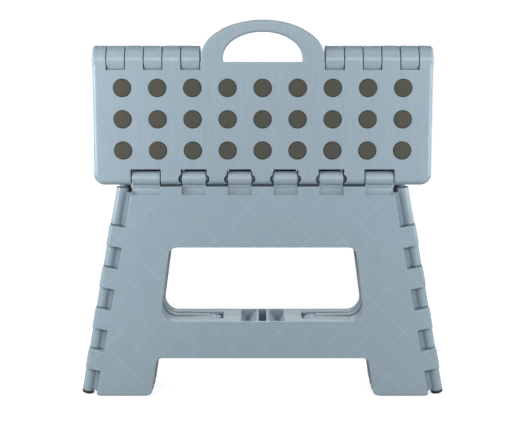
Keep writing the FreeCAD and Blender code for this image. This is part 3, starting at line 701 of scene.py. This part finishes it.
def lay_floor(settings):
    """Plain pale floor that is lifted to white with distance where it is looked at."""
    mesh = bpy.data.meshes.new("studio_floor")
    work = bmesh.new()
    bmesh.ops.create_grid(work, x_segments=4, y_segments=4, size=settings.floor_size / 2)
    work.to_mesh(mesh)
    work.free()
    floor = bpy.data.objects.new("studio_floor", mesh)
    bpy.context.scene.collection.objects.link(floor)
    just_below = 0.0001
    floor.location.z = CAD_BOX[0].z - just_below
    material, tree = blank_material("studio_floor_paint")
    here = add(tree, "ShaderNodeTexCoord").outputs["Object"]
    paint = tuple(settings.floor_colour) + (1.0,)
    looked_at = add(tree, "ShaderNodeLightPath").outputs["Is Camera Ray"]
    away = add(tree, "ShaderNodeVectorMath", {0: here}, operation="LENGTH").outputs["Value"]
    glow_near, glow_far = 0.22, 0.9
    sweep = ramp(tree, away, glow_near, glow_far, settings.floor_glow, 1.0)
    glow = maths(tree, "MULTIPLY", looked_at, sweep)
    colour = mixed(tree, noise(tree, here, 0.5, 2.0), scaled(paint, 0.99), paint)
    shader = add(tree, "ShaderNodeBsdfPrincipled", {
        "Base Color": colour, "Roughness": 0.8, "Specular IOR Level": 0.1,
        "Emission Color": (1.0, 1.0, 1.0, 1.0), "Emission Strength": glow})
    close_material(tree, shader)
    mesh.materials.append(material)


def light_ends(settings):
    """Soft boxes and a strip before and behind the stool, and one box overhead."""
    side_size = (0.26, 0.40)
    strip_size = (1.3, 0.04)
    top_size = (0.5, 0.5)
    for end, toward, share in (("front", -1, 1.0), ("rear", 1, settings.rear_share)):
        side = toward * 0.24
        soft_box(end + "_left_soft_box", (-0.50, side, 0.36), side_size, settings.left_power * share)
        soft_box(end + "_right_soft_box", (0.50, side, 0.34), side_size, settings.right_power * share)
        soft_box(end + "_strip", (0.0, toward * 1.5, 0.84), strip_size, settings.strip_power * share)
    soft_box("top_soft_box", (0.0, -0.30, 1.1), top_size, settings.top_power)


def light_surround(scene, settings):
    """Even white light from all round, and a whiter backdrop where it is looked at."""
    world = bpy.data.worlds.new("white_studio")
    world.use_nodes = True
    tree = world.node_tree
    tree.nodes.clear()
    path = add(tree, "ShaderNodeLightPath")
    seen = add(tree, "ShaderNodeBackground", {
        "Color": (1, 1, 1, 1), "Strength": settings.seen_white})
    lit = add(tree, "ShaderNodeBackground", {
        "Color": (0.99, 1.0, 1.0, 1), "Strength": settings.surround})
    pick = add(tree, "ShaderNodeMixShader", {0: path.outputs["Is Camera Ray"],
                                            1: lit.outputs[0], 2: seen.outputs[0]})
    add(tree, "ShaderNodeOutputWorld", {"Surface": pick.outputs[0]})
    scene.world = world


def soft_box(name, place, size, power):
    """Rectangular area light aimed at the middle of the stool."""
    light = bpy.data.lights.new(name, "AREA")
    light.shape = "RECTANGLE"
    light.size, light.size_y = size
    light.energy = power
    lamp = bpy.data.objects.new(name, light)
    bpy.context.scene.collection.objects.link(lamp)
    lamp.location = place
    aim = (CAD_BOX[0] + CAD_BOX[1]) / 2 - Vector(place)
    lamp.rotation_euler = aim.to_track_quat("-Z", "Y").to_euler()


def place_camera(scene, settings):
    """Camera square to the front, looking slightly down."""
    lens = bpy.data.cameras.new("stool_camera")
    lens.lens = settings.lens
    lens.sensor_width = 36.0
    lens.clip_start = 0.01
    lens.clip_end = 200.0
    camera = bpy.data.objects.new("stool_camera", lens)
    scene.collection.objects.link(camera)
    camera.location = settings.camera_place
    camera.rotation_euler = (math.pi / 2 - settings.camera_dip, 0, 0)
    scene.camera = camera


# ---------------------------------------------------------------- sidebar
class STOOL_PT_workbench(bpy.types.Panel):
    """Every step of finishing the stool, in order"""

    bl_idname = "STOOL_PT_workbench"
    bl_label = "Step Stool"
    bl_space_type = "VIEW_3D"
    bl_region_type = "UI"
    bl_category = "Step Stool"

    def draw(self, context):
        for step, group in STEPS:
            column = self.layout.column(align=True)
            column.operator(step.bl_idname)
            settings = getattr(context.scene, group)
            for name in settings.__annotations__:
                column.prop(settings, name)


GROUPS = (
    ("stool_plastic", StoolPlasticSettings),
    ("stool_dots", GripDotSettings),
    ("stool_feet", FootTreadSettings),
    ("stool_steel", HingeSteelSettings),
    ("stool_stage", StageSettings),
)
STEPS = (
    (STOOL_OT_mould_panels, "stool_plastic"),
    (STOOL_OT_grip_dots, "stool_dots"),
    (STOOL_OT_foot_treads, "stool_feet"),
    (STOOL_OT_hinge_steel, "stool_steel"),
    (STOOL_OT_studio_stage, "stool_stage"),
)


def register():
    for name, group in GROUPS:
        bpy.utils.register_class(group)
        setattr(bpy.types.Scene, name, PointerProperty(type=group))
    for step, _ in STEPS:
        bpy.utils.register_class(step)
    bpy.utils.register_class(STOOL_PT_workbench)


def unregister():
    bpy.utils.unregister_class(STOOL_PT_workbench)
    for step, _ in reversed(STEPS):
        bpy.utils.unregister_class(step)
    for name, group in reversed(GROUPS):
        delattr(bpy.types.Scene, name)
        bpy.utils.unregister_class(group)


def main():
    register()
    bpy.ops.stool.mould_panels()
    bpy.ops.stool.grip_dots()
    bpy.ops.stool.foot_treads()
    bpy.ops.stool.hinge_steel()
    bpy.ops.stool.studio_stage()


if __name__ == "__main__":
    main()
